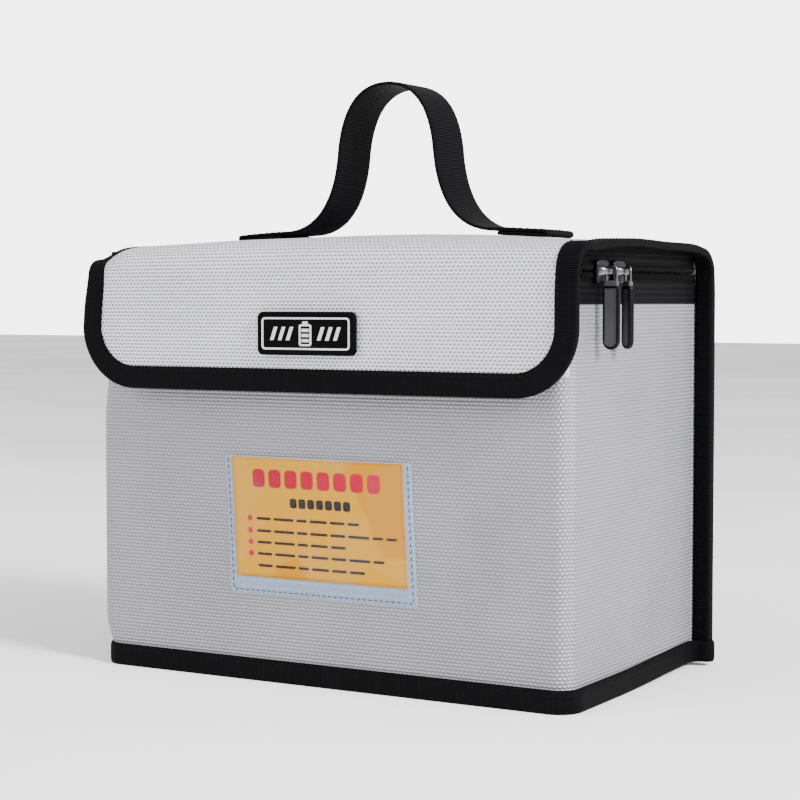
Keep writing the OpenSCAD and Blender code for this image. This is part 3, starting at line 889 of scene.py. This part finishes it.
class BAG_OT_edges(Operator):
    """Black binding tape folded over every raw edge, with its rows of stitches"""
    bl_idname = "bag.edges"
    bl_label = "Bindings"

    def execute(self, context):
        sizes = context.scene.bag_sizes
        bed = 0.0001
        route, side, out = flap_edge_route(sizes, EDGE_W / 2)
        front = tube("front_edge", route, side, out, EDGE_W / 2, EDGE_HALF_T, "edge", 5.0, 28)
        settle(front, "front bend", "binding_tape", "flap_binding", "lid_left_binding",
               "lid_right_binding")
        route, side, out = flap_edge_route(sizes, EDGE_W - 0.0016)
        thread = stitches("front_edge_thread", route + out * (EDGE_HALF_T - bed), out,
                          pitch=sizes.stitch)
        settle(thread, "front bend", "binding_tape")
        half_w = (SEAM_X - HALF_W - 0.0003) / 2
        for name, way in (("left", -1), ("right", 1)):
            route, side, out = rear_edge_route(sizes, way, half_w)
            below = np.clip((BEND_Z - route[:, 2]) / 0.01, 0, 1)
            route = route - out * (0.0006 * below)[:, None]
            thick = EDGE_HALF_T + 0.0009 * np.clip((BEND_Z - route[:, 2]) / 0.01, 0, 1)
            edge = tube(f"rear_edge_{name}", route, side, out, half_w, thick, "edge", 5.0, 28)
            settle(edge, "rear bend", "binding_tape", f"back_{name}_binding", f"lid_{name}_binding")
            line = route - side * 0.0022 + out * (thick - bed)[:, None]
            thread = stitches(f"rear_edge_thread_{name}", line, out, pitch=sizes.stitch)
            settle(thread, "rear bend", "binding_tape")
        self.base(sizes)
        return {"FINISHED"}

    def base(self, sizes):
        """The band round the base: a closed route round the walls, the two seams and the back."""
        band_h, proud = high("base_binding").z, high("base_binding").y - BACK_Y
        middle_z, centre = band_h / 2, (proud - EDGE_SINK) / 2
        r, start = 0.0048, 0.0012
        s = joined((start + r, WALL_RUN, 30), (WALL_RUN, FRONT_START, 12),
                   (FRONT_START, WALL_LENGTH / 2, 40))
        front, out = wall(s, np.full(len(s), middle_z), centre)
        turn = np.linspace(QUARTER, 0, 9)
        fold_out = np.stack([np.cos(turn), -np.sin(turn), 0 * turn], -1)
        fold = np.array([HALF_W + r + centre, FLANGE_Y - start - r, middle_z]) - r * fold_out
        half = (BACK_Y + centre - fold[0, 1]) / 2
        tip_x = SEAM_X - half
        turn = np.linspace(QUARTER, -QUARTER, 11)
        tip_out = np.stack([np.cos(turn), np.sin(turn), 0 * turn], -1)
        tip = np.array([tip_x, fold[0, 1] + half, middle_z]) + half * tip_out
        x = np.linspace(0, tip_x, 40)[:-1]
        back = np.stack([x, np.full(len(x), BACK_Y + centre), np.full(len(x), middle_z)], -1)
        right = np.concatenate([back, tip, fold[1:], front])
        right_out = np.concatenate([same(-FORWARD, back), tip_out, fold_out[1:], out])
        tip_share = ease((right[:, 1] + 0.020) / 0.076) * ease((right[:, 0] - 0.095) / 0.013)
        right[:, 2] += 0.0017 * tip_share
        route, outs = (np.concatenate([a, (a * MIRROR)[-2:0:-1]]) for a in (right, right_out))
        piece = tube("base_edge", route, same(UP, route), outs, band_h / 2, (proud + EDGE_SINK) / 2,
                     "edge", 4.0, 24, closed=True)
        settle(piece, "body", "binding_tape", "base_binding")
        s = np.linspace(0.016, WALL_LENGTH - 0.016, 260)
        line, out = wall(s, np.full(len(s), band_h - 0.0019), proud)
        thread = stitches("base_edge_thread", line - out * 0.0002, out, pitch=sizes.stitch)
        settle(thread, "body", "binding_tape")


# ---- operators: zip ----

def coil_row(name, z, lean):
    """Half of the zip's coil: a slanted, rounded bar at each pitch along the wall."""
    pitch, half_h, half_t = 0.0020, 0.00135, 0.00062
    start = FLANGE_Y - COIL_Y
    s = np.arange(start, WALL_LENGTH - start, pitch)
    centre, out = wall(s, np.full(len(s), z), 0.0006 + half_t)
    ahead = np.cross(out, UP)
    t = np.linspace(-1, 1, 7)
    fat = np.sqrt(1 - (0.93 * t) ** 2)
    w, d = power_ring(0.00046, half_t, 2.4, 8)
    points = (centre[:, None, None]
              + UP * (half_h * t)[None, :, None, None]
              + ahead[:, None, None] * ((lean * t)[:, None] + fat[:, None] * w)[None, ..., None]
              + out[:, None, None] * (fat[:, None] * d)[None, ..., None])
    return form(name, points, "coil")


class BAG_OT_zip(Operator):
    """The zip round three sides: two tapes, the two halves of the coil and the tapes' stitches"""
    bl_idname = "bag.zip"
    bl_label = "Zip"

    def execute(self, context):
        sizes = context.scene.bag_sizes
        for name, body, way, start in (("lower", "body", -1, 0.0014), ("upper", "lid", 1, 0.0030)):
            node = f"{name}_zipper_tape"
            bottom, top = low(node).z, high(node).z
            s = wall_stops(start, 30, 10, 50)
            route, out = wall(s, np.full(len(s), (bottom + top) / 2), 0.00036)
            piece = tube(f"{name}_tape", route, same(UP, s), out, (top - bottom) / 2, 0.0003, "zip", 8.0, 20)
            settle(piece, body, "zip_tape", node)
            coil = coil_row(f"{name}_coil", ZIP_Z + 0.0016 * way, -0.0008 * way)
            settle(coil, body, "zip_coil", f"{name}_zipper_coil")
            far_row = bottom + 0.0028 if way < 0 else top - 0.0022
            for k, height in enumerate(sorted((ZIP_Z + 0.0042 * way, far_row))):
                route, out = wall(s, np.full(len(s), height), 0.00062)
                thread = stitches(f"{name}_tape_thread_{k}", route, out, pitch=sizes.stitch * 0.9,
                                  radius=0.0002)
                settle(thread, body, "zip_tape")
        return {"FINISHED"}


def wire(name, centres, radius):
    """Round metal wire along a flat closed loop of centres."""
    ahead = unit(np.roll(centres, -1, 0) - np.roll(centres, 1, 0))
    third, half = (centres[len(centres) // k] - centres[0] for k in (3, 2))
    flat = unit(np.cross(third, half))
    return tube(name, centres, np.cross(ahead, flat), same(flat, centres), radius, radius, "metal",
                2.0, 12, closed=True)


class BAG_OT_sliders(Operator):
    """Two metal sliders, each with its bridge, wire link and moulded pull tab"""
    bl_idname = "bag.sliders"
    bl_label = "Sliders and pulls"

    def execute(self, context):
        for name, turn in (("front", 0.0), ("rear", math.radians(-40.0))):
            self.slider(name)
            self.pull(name, turn)
        return {"FINISHED"}

    def slider(self, name):
        """A flat body against the coil, a bridge arched over it and two rails along its edges."""
        node = f"{name}_slider"
        y, z, length = middle(node)[1], ZIP_Z, high(node).y - low(node).y
        plate_x = high("lower_zipper_coil").x + 0.0003
        height, thick = 0.0088, 0.0013
        body = plate(length, height, (0.0038, 0.002, 0.002, 0.0038), domed(thick / 2, 0.0005, thick / 2),
                     (plate_x + thick / 2, y, z), *SIDE_AXES)
        settle(crease(form(f"{name}_slider_body", body, "dark_metal")), node, "slider_metal", node)
        t = np.linspace(0, math.pi, 25)
        lift = np.abs(np.sin(t)) ** 1.1
        reach = JOINT_AT[f"{name}_pull_swing"].x - plate_x - 0.0013
        route = np.stack([plate_x + thick - 0.0006 + reach * lift, y + 0.0044 * np.cos(t), 0 * t + z], -1)
        ahead, up = unit(np.gradient(route, axis=0)), same(UP, route)
        bridge = tube(f"{name}_slider_bridge", route, up, np.cross(ahead, up),
                      0.0011 + 0.0008 * (1 - lift), 0.0005, "metal", 3.0, 16)
        settle(crease(bridge, 50), node, "slider_metal")
        for k, way in enumerate((-1, 1)):
            rail = plate(length * 0.82, 0.0011, (0.0005,) * 4, domed(0.0009, 0.0003, 0.0009),
                         (plate_x + 0.0002, y, z + way * (height / 2 - 0.0006)), *SIDE_AXES)
            settle(form(f"{name}_slider_rail_{k}", rail, "dark_metal"), node, "slider_metal")

    def pull(self, name, turn):
        """A wire link round the bridge, and the moulded tab with its head, turned about the upright."""
        pivot = np.array(JOINT_AT[f"{name}_pull_swing"])
        across = np.array([math.cos(turn), math.sin(turn), 0.0])
        out = np.array([math.sin(turn), -math.cos(turn), 0.0])
        half_w, top, bottom = 0.0021, 0.0021, -0.0054
        ring = outline(2 * half_w, top - bottom, (0.0018, 0.0018, 0.0006, 0.0006), 0.0, 7)
        loop = pivot + ring[:, :1] * across + (ring[:, 1:] + (top + bottom) / 2) * UP
        settle(wire(f"{name}_link", loop, 0.0005), f"{name}_pull", "slider_metal", f"{name}_pull_link")
        tab = f"{name}_pull_tab"
        width, length, thick = 0.0068, high(tab).z - low(tab).z, 0.0023
        end = width / 2 - 1e-5
        profile = domed(thick / 2, 0.0005, thick / 2 - 0.0003, 0.0003)
        rings = plate(width, length, (0.0014, 0.0014, end, end), profile,
                      (*pivot[:2], middle(tab)[2]), across, UP, out, 12)
        # the flat face takes tab_face, a grey copy of the black rubber: partly satin, partly painted
        # reflection
        piece = form(f"{name}_tab", rings, ("tab", "tab_face"), second_from=len(profile) - 2)
        settle(crease(piece, 40), f"{name}_pull", "pull_rubber", tab)
        head = plate(0.0056, 0.0024, (0.0007,) * 4, domed(0.0009, 0.0004, 0.0009),
                     (*pivot[:2], high(tab).z + 0.0006), across, UP, out, 6)
        settle(crease(form(f"{name}_tab_head", head, "tab_face"), 40), f"{name}_pull", "pull_rubber")


# ---- operators: closure, pocket, badge, handle ----

def slab(name, node, finish, slot, body):
    """A thin sewn pad that fills a node's box: a rounded plate with a soft edge."""
    a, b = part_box(node)
    half_t = (b.y - a.y) / 2
    rings = plate(b.x - a.x, b.z - a.z, (0.0012,) * 4, domed(half_t, 0.0006, half_t), middle(node),
                  *FRONT_AXES)
    settle(crease(form(name, rings, finish), 50), body, slot, node)


class BAG_OT_closure(Operator):
    """The facing strip on the front wall and the hook and loop pads under the flap"""
    bl_idname = "bag.closure"
    bl_label = "Hook and loop"

    def execute(self, context):
        a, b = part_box("closure_facing")
        x, z = grid(np.linspace(a.x, b.x, 80), np.linspace(a.z, b.z, 12))
        lift = 0.0012 * np.clip((np.abs(x) - 0.09) / 0.02, 0, 1) ** 2 * (1 - (z - a.z) / (b.z - a.z)) ** 2
        y = np.full(x.shape, a.y) - lift
        piece = surface("facing", np.stack([x, y, z], -1), "facing", np.stack([x, z], -1))
        thicken(piece, b.y - a.y)
        settle(piece, "body", "facing_cloth", "closure_facing")
        slab("loop_pad", "loop_strip", "loop", "loop_pile", "body")
        slab("hook_pad", "hook_strip", "hook", "hook_plastic", "flap")
        return {"FINISHED"}


def pocket_face(x, z, lift, sizes):
    """Point on the front wall for the pocket and its card, which are sewn on a little aslant."""
    below_top = high("card_pocket").z - z
    return front_face(x - 0.0005 + sizes.slant * below_top, z, lift, sizes)


def card_marks(name, marks, finish, origin, sizes):
    """Small printed bars and dots on the card: each is a rounded patch of the card's own surface."""
    rings = []
    for x, z, width, height in marks:
        least = min(width, height)
        ring = np.stack([outline(width, height, (least * 0.3,) * 4, inset, 4)
                         for inset in (0.0, 0.0, least * 0.05)])
        px, pz = origin[0] + x + ring[..., 0], origin[1] + z + ring[..., 1]
        lift = np.array([0.0007, 0.00094, 0.00097])[:, None]
        rings.append(pocket_face(px, pz, lift, sizes))
    return form(name, np.stack(rings), finish)


class BAG_OT_pocket(Operator):
    """The clear pocket with its stitches, and the card with plain bars and dots for print"""
    bl_idname = "bag.pocket"
    bl_label = "Pocket and card"

    def execute(self, context):
        sizes = context.scene.bag_sizes
        a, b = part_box("card_pocket")
        x, z = grid(np.linspace(a.x, b.x, 60), np.linspace(a.z, b.z, 40))
        hem = 0.006
        side = np.clip(np.minimum(x - a.x, b.x - x) / hem, 0, 1)
        foot = np.clip((z - a.z) / hem, 0, 1)
        lift = 0.0004 + 0.0012 * side * foot
        film = surface("pocket_film", pocket_face(x, z, lift, sizes), "film", np.stack([x, z], -1))
        thicken(film, 0.00025)
        settle(film, "body", "clear_film", "card_pocket")

        a2, b2 = CARD_LOW, high("info_card")
        x, z = grid(np.linspace(a2.x, b2.x, 40), np.linspace(a2.z, b2.z, 26))
        card = surface("info_card_sheet", pocket_face(x, z, 0.0009, sizes), "card", np.stack([x, z], -1))
        thicken(card, 0.0004)
        settle(card, "body", "card_print", "info_card")

        self.marks(sizes, (a2.x, a2.z), b2.x - a2.x, b2.z - a2.z)
        self.threads(sizes, a, b)
        return {"FINISHED"}

    def marks(self, sizes, corner, width, height):
        """A heading of red blocks, a row of dark ones, and broken lines with a red dot each. Places
        and sizes are shares of the card, but for the dots and the lines' own thickness."""
        heading = [(width * (0.11 + 0.77 * (k + 0.5) / 8), height * 0.824, width * 0.77 * 0.76 / 8,
                    height * 0.15) for k in range(8)]
        lines = [0.49, 0.388, 0.293, 0.198]
        dot, line_h = 0.0022, 0.0011
        dots = [(width * 0.095, height * v, dot, dot) for v in lines]
        settle(card_marks("card_red_marks", heading + dots, "red", corner, sizes), "body", "card_print")
        words = []
        for v, end in zip(lines + [0.10], (0.74, 0.95, 0.66, 0.93, 0.76)):
            at, k = 0.135, 0
            while at < end - 0.04:
                long = min((0.085, 0.12, 0.06, 0.10)[k % 4], end - at)
                words.append((width * (at + long / 2), height * v, width * long, line_h))
                at, k = at + long + 0.018, k + 1
        second = [(width * (0.335 + 0.052 * (k + 0.5)), height * 0.63, width * 0.042, height * 0.08)
                  for k in range(7)]
        settle(card_marks("card_dark_marks", words + second, "dark", corner, sizes), "body", "card_print")

    def threads(self, sizes, a, b):
        """Stitches down both sides and along the foot: an outer row, and an inner one on the right
        and the foot."""
        rim, seam, top = 0.0016, 0.0045, b.z - 0.001
        rows = [(a.x + rim, a.x + rim, top, a.z + rim),
                (b.x - rim, b.x - rim, top, a.z + rim),
                (b.x - seam, b.x - seam, top, a.z + seam),
                (a.x + rim, b.x - rim, a.z + rim, a.z + rim),
                (a.x + 0.004, b.x - seam, a.z + seam, a.z + seam)]
        for k, (x0, x1, z0, z1) in enumerate(rows):
            route = pocket_face(np.linspace(x0, x1, 60), np.linspace(z0, z1, 60), 0.0008, sizes)
            thread = stitches(f"pocket_thread_{k}", route, same(FORWARD, route), "blue_thread", pitch=0.0026)
            settle(thread, "body", "clear_film")


class BAG_OT_badge(Operator):
    """The rubber badge with a raised rim; its border and plain battery emblem stay from the frame"""
    bl_idname = "bag.badge"
    bl_label = "Badge"

    def execute(self, context):
        a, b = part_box("badge_patch")
        half_t, rim = (b.y - a.y) / 2, 0.0003
        turn = np.linspace(-QUARTER, QUARTER, 9)
        profile = [(0.0006 * (1 - math.cos(t)), half_t * math.sin(t) + rim * (t > 0)) for t in turn]
        profile += [(0.0013, half_t + rim), (0.0017, half_t), (0.003, half_t)]
        rings = plate(b.x - a.x, b.z - a.z, (0.0024,) * 4, profile, middle("badge_patch"), *FRONT_AXES)
        piece = form("badge_body", rings, "badge")
        settle(crease(piece, 45), "flap", "badge_rubber", "badge_patch")
        for node in ("badge_border", "badge_emblem"):
            frame["nodes"][node].data.materials.clear()
            frame["nodes"][node].data.materials.append(FINISHES["print"])
        return {"FINISHED"}


def bezier(a, b, c, d, t):
    """Cubic curve between a and d, pulled towards b and c."""
    t = t[:, None]
    return a * (1 - t) ** 3 + 3 * b * t * (1 - t) ** 2 + 3 * c * t * t * (1 - t) + d * t ** 3


class BAG_OT_handle(Operator):
    """The webbing handle: one loop whose ends lie on the lid, folded under and sewn with a crossed box"""
    bl_idname = "bag.handle"
    bl_label = "Handle"

    def execute(self, context):
        sizes = context.scene.bag_sizes
        t, gap = sizes.web_t, 0.0001

        def lid(x):
            return spine(x, np.full(len(x), LID_MIDDLE + 0.004), 0.0, sizes)[0][:, 2]

        def ply(x, lift):
            return np.stack([x, lid(x) + lift], -1)

        tip, foot, half_w = high("handle_right_end").x - t, 0.050, high("handle_strap").y
        top = np.array([0.0, high("handle_strap").z - t / 2])
        neck, pull, u = top + (0.0228, -0.0283), np.array([0.0018, -0.019]), np.linspace(0, 1, 34)
        under = ply(np.linspace(foot + 0.002, tip, 14), t / 2 + gap)
        over = ply(np.linspace(tip, foot, 16), 1.5 * t + 2 * gap)
        turn = np.linspace(-QUARTER, QUARTER, 8)[1:-1]
        fold_r = (over[0, 1] - under[-1, 1]) / 2
        fold = (under[-1] + over[0]) / 2 + fold_r * np.stack([np.cos(turn), np.sin(turn)], -1)
        leg = bezier(over[-1], over[-1] - (0.017, 0), neck + pull, neck, u)
        crown = bezier(neck, neck - pull, top + (0.013, 0), top, u)
        half = np.concatenate([under, fold, over, leg[1:], crown[1:]])
        flat = np.concatenate([half, (half * (-1, 1))[-2::-1]])
        route = np.stack([flat[:, 0], 0 * flat[:, 0], flat[:, 1]], -1)
        ahead, width = unit(np.gradient(route, axis=0)), same(-FORWARD, route)
        web = tube("handle_web", route, width, np.cross(ahead, width), half_w, t / 2, "web", 9.0, 36)
        settle(web, "handle bend", "webbing", "handle_strap", "handle_left_end", "handle_right_end")
        x0, x1, y1 = foot + 0.003, tip - 0.002, half_w - 0.0025
        box = [(x0, -y1), (x1, -y1), (x1, y1), (x0, y1), (x0, -y1), (x1, y1), (x1, -y1), (x0, y1)]
        line = np.concatenate([np.linspace(p, q, 24) for p, q in zip(box, box[1:])])
        z = lid(line[:, 0]) + 2 * t + 2 * gap
        for name, way in (("left", -1), ("right", 1)):
            path = np.stack([way * line[:, 0], line[:, 1], z], -1)
            thread = stitches(f"handle_thread_{name}", path, same(UP, path), pitch=sizes.stitch,
                              radius=0.00015)
            settle(thread, "lid", "webbing")
        return {"FINISHED"}


class BAG_OT_stage(Operator):
    """Camera, pale floor and soft studio lights"""
    bl_idname = "bag.stage"
    bl_label = "Stage"

    def execute(self, context):
        scene = context.scene
        view = bpy.data.cameras.new("view")
        view.lens, view.sensor_width = 88.74, 36.0
        camera = bpy.data.objects.new("view", view)
        scene.collection.objects.link(camera)
        azimuth, elevation, distance = math.radians(30.30), math.radians(2.90), 0.8283
        aim, level = Vector((-0.0004, 0.0, 0.1112)), math.cos(elevation)
        back = Vector((math.sin(azimuth) * level, -math.cos(azimuth) * level, math.sin(elevation)))
        camera.location = aim + back * distance
        camera.rotation_euler = back.to_track_quat("Z", "Y").to_euler()
        scene.camera = camera

        x, y = grid(np.linspace(-6, 6, 7), np.linspace(-6, 6, 7))
        floor = surface("floor", np.stack([x, y, 0 * x], -1), "floor")
        if floor.data.polygons[0].normal.z < 0:
            floor.data.flip_normals()

        self.lamp("key", (1.75, -0.38, 1.15), 0.55, 112.0)
        self.lamp("fill", (-1.5, -1.5, 0.9), 1.6, 45.0)
        scene.world = self.studio()
        return {"FINISHED"}

    def studio(self):
        """A white world: soft light on the bag, and a brighter backdrop for the camera."""
        world = bpy.data.worlds.new("studio")
        world.use_nodes = True
        tree = world.node_tree
        soft, bright = tree.nodes["Background"], tree.nodes.new("ShaderNodeBackground")
        for sky, strength in ((soft, 1.15), (bright, 5.0)):
            sky.inputs["Color"].default_value = (1.0, 1.0, 1.0, 1.0)
            sky.inputs["Strength"].default_value = strength
        seen, mix = tree.nodes.new("ShaderNodeLightPath"), tree.nodes.new("ShaderNodeMixShader")
        for k, socket in enumerate((seen.outputs["Is Camera Ray"], soft.outputs[0], bright.outputs[0])):
            tree.links.new(socket, mix.inputs[k])
        tree.links.new(mix.outputs[0], tree.nodes["World Output"].inputs["Surface"])
        return world

    def lamp(self, name, place, size, power):
        data = bpy.data.lights.new(name, "AREA")
        data.size, data.energy = size, power
        lamp = bpy.data.objects.new(name, data)
        lamp.location = place
        lamp.rotation_euler = (Vector(place) - BAG_MIDDLE).to_track_quat("Z", "Y").to_euler()
        bpy.context.scene.collection.objects.link(lamp)


MAKERS = (BAG_OT_stage, BAG_OT_walls, BAG_OT_spine, BAG_OT_edges, BAG_OT_zip, BAG_OT_sliders,
          BAG_OT_closure, BAG_OT_pocket, BAG_OT_badge, BAG_OT_handle)


class BAG_PT_panel(Panel):
    bl_label = "Battery Safe Bag"
    bl_idname = "BAG_PT_panel"
    bl_space_type = "VIEW_3D"
    bl_region_type = "UI"
    bl_category = "Safe Bag"

    def draw(self, context):
        for group in (context.scene.bag_sizes, context.scene.bag_colours):
            for name in group.__annotations__:
                self.layout.prop(group, name)
        for maker in MAKERS:
            self.layout.operator(maker.bl_idname)


CLASSES = (BagSizes, BagColours, *MAKERS, BAG_PT_panel)


def register():
    for cls in CLASSES:
        bpy.utils.register_class(cls)
    bpy.types.Scene.bag_sizes = PointerProperty(type=BagSizes)
    bpy.types.Scene.bag_colours = PointerProperty(type=BagColours)


def unregister():
    del bpy.types.Scene.bag_sizes
    del bpy.types.Scene.bag_colours
    for cls in reversed(CLASSES):
        bpy.utils.unregister_class(cls)


def main():
    register()
    make_finishes(bpy.context.scene.bag_colours)
    for maker in MAKERS:
        group, name = maker.bl_idname.split(".")
        getattr(getattr(bpy.ops, group), name)()


if __name__ == "__main__":
    main()
